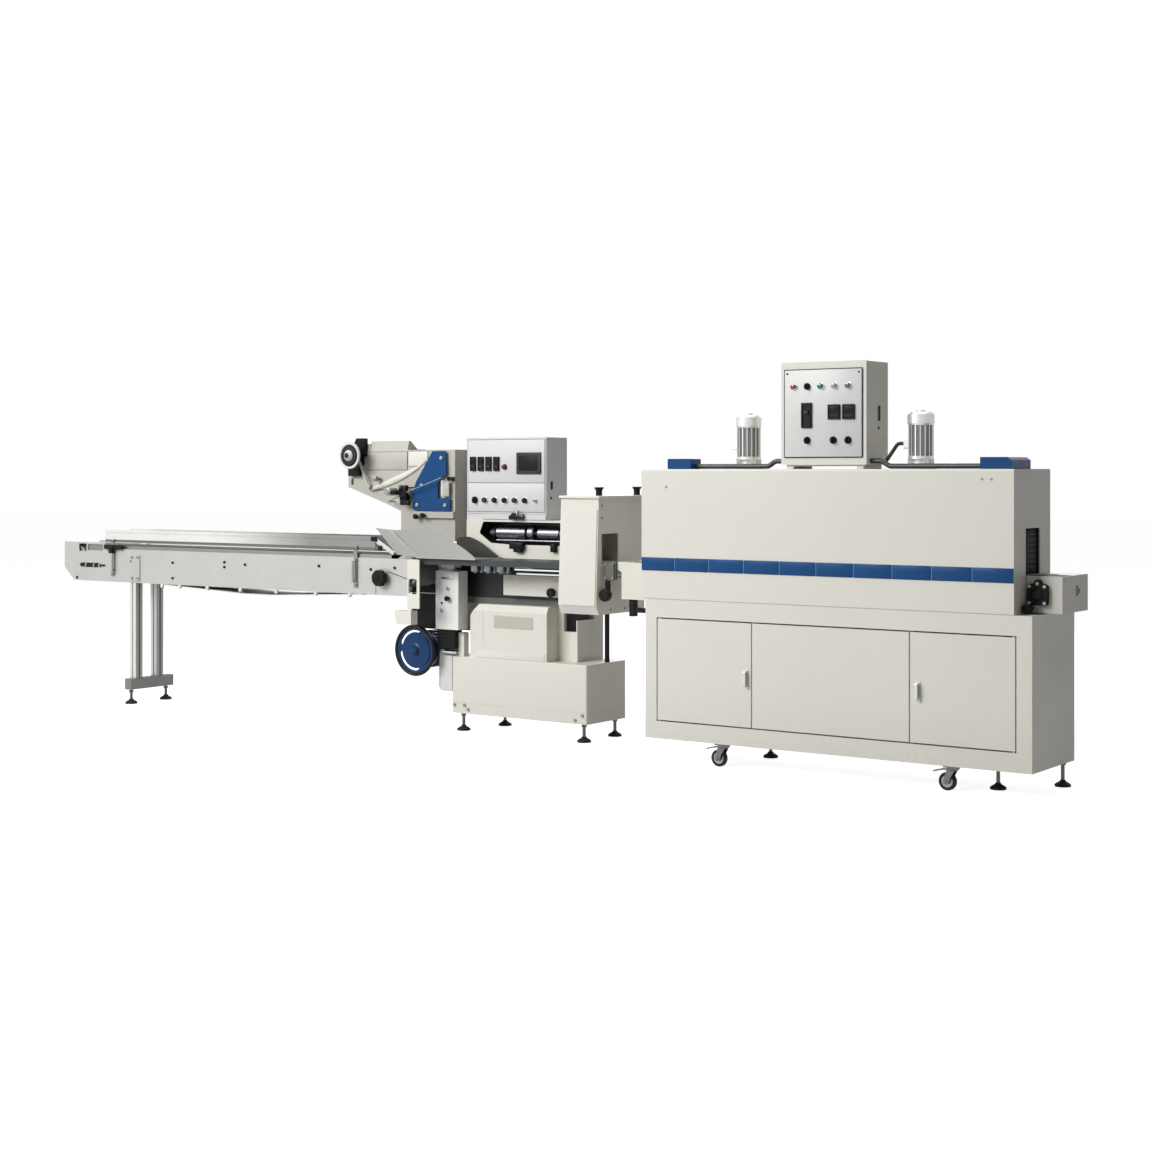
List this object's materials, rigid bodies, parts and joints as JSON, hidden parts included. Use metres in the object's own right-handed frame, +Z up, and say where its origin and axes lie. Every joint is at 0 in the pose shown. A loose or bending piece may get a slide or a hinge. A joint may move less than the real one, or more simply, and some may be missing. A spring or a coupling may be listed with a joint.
{
  "type": "horizontal flow wrapper with shrink tunnel",
  "caption": "Horizontal flow wrapping line: chain infeed, film unwind, bag former, end-jaw housing and an in-line heat shrink tunnel on casters.",
  "frame": {"origin": "floor level under the middle of the line's box", "axes": "+X with the product flow from infeed to tunnel exit, +Y to the back, +Z up"},
  "size_m": [5.985, 0.632, 1.768],
  "materials": {
    "cream_paint": "satin",
    "stainless": "brushed",
    "aluminium": "satin",
    "blue_paint": "satin",
    "black_plastic": "matt",
    "black_steel": "satin",
    "belt_rubber": "matt",
    "chrome": "polished",
    "zinc_steel": "satin",
    "wheel_rubber": "matt"
  },
  "bodies": {
    "line": {"bag_former": "stainless", "base_cabinet": "cream_paint", "cabinet_floor_and_top": "cream_paint", "cabinet_front": "cream_paint", "cabinet_wrap": "cream_paint", "caster_plates": "zinc_steel", "control_box": "cream_paint", "deck_table": "stainless", "drive_block": "black_plastic", "drive_box": "cream_paint", "drive_brackets": "cream_paint", "drive_tubes": "zinc_steel", "fan_motors": "aluminium", "feed_rollers": "chrome", "film_arm": "cream_paint", "film_column": "cream_paint", "film_guard_plate": "blue_paint", "film_rollers": "stainless", "guide_rails": "stainless", "hood_cover": "cream_paint", "hood_ends": "cream_paint", "hood_stripe": "blue_paint", "infeed_bed": "stainless", "infeed_belt": "belt_rubber", "infeed_end_bracket": "cream_paint", "infeed_pulleys": "aluminium", "infeed_side_plates": "cream_paint", "infeed_stand": "aluminium", "jaw_cap": "cream_paint", "jaw_cover": "cream_paint", "jaw_housing": "cream_paint", "jaw_knobs": "black_plastic", "jaw_post": "black_steel", "levelling_feet": "black_steel", "machine_wall": "cream_paint", "main_motor": "blue_paint", "middle_panel": "cream_paint", "outfeed_bridge": "stainless", "outfeed_fittings": "black_plastic", "outfeed_gearbox": "aluminium", "panel_controls": "black_plastic", "pedestal": "cream_paint", "reel_bracket": "black_plastic", "return_tray": "cream_paint", "roof_conduits": "black_plastic", "side_box": "cream_paint", "terminal_boxes": "blue_paint", "tunnel_belt": "belt_rubber", "tunnel_control_box": "cream_paint", "tunnel_controls": "black_plastic", "tunnel_conveyor": "cream_paint"},
    "left_door": {"left_door": "cream_paint"},
    "right_door": {"right_door": "cream_paint"},
    "handwheel": {"handwheel": "black_steel"},
    "film_spindle": {"film_spindle": "chrome"},
    "infeed_knob": {"infeed_knob": "black_plastic"},
    "left_caster_fork": {"left_caster_fork": "zinc_steel"},
    "right_caster_fork": {"right_caster_fork": "zinc_steel"},
    "left_caster_wheel": {"left_caster_wheel": "wheel_rubber"},
    "right_caster_wheel": {"right_caster_wheel": "wheel_rubber"}
  },
  "joints": [
    {"name": "left_door_hinge", "type": "hinge", "parent": "line", "child": "left_door", "pos_m": [1.165, -0.288, 0.4155], "axis": [0, 0, -1], "range_deg": [0, 110]},
    {"name": "right_door_hinge", "type": "hinge", "parent": "line", "child": "right_door", "pos_m": [2.84, -0.288, 0.4155], "axis": [0, 0, 1], "range_deg": [0, 110]},
    {"name": "handwheel_turn", "type": "hinge", "parent": "line", "child": "handwheel", "pos_m": [-0.455, -0.072, 0.395], "axis": [0, -1, 0], "continuous": true},
    {"name": "film_spindle_turn", "type": "hinge", "parent": "line", "child": "film_spindle", "pos_m": [-0.935, -0.03, 1.384], "axis": [0, -1, 0], "continuous": true},
    {"name": "infeed_knob_turn", "type": "hinge", "parent": "line", "child": "infeed_knob", "pos_m": [-0.56, -0.228, 0.764], "axis": [0, -1, 0], "continuous": true},
    {"name": "left_caster_swivel", "type": "hinge", "parent": "line", "child": "left_caster_fork", "pos_m": [1.4765, -0.25, 0.096], "axis": [0, 0, 1], "continuous": true},
    {"name": "left_caster_roll", "type": "hinge", "parent": "left_caster_fork", "child": "left_caster_wheel", "pos_m": [1.4525, -0.25, 0.0375], "axis": [0, 1, 0], "continuous": true},
    {"name": "right_caster_swivel", "type": "hinge", "parent": "line", "child": "right_caster_fork", "pos_m": [2.5635, -0.25, 0.096], "axis": [0, 0, 1], "continuous": true},
    {"name": "right_caster_roll", "type": "hinge", "parent": "right_caster_fork", "child": "right_caster_wheel", "pos_m": [2.5395, -0.25, 0.0375], "axis": [0, 1, 0], "continuous": true}
  ]
}
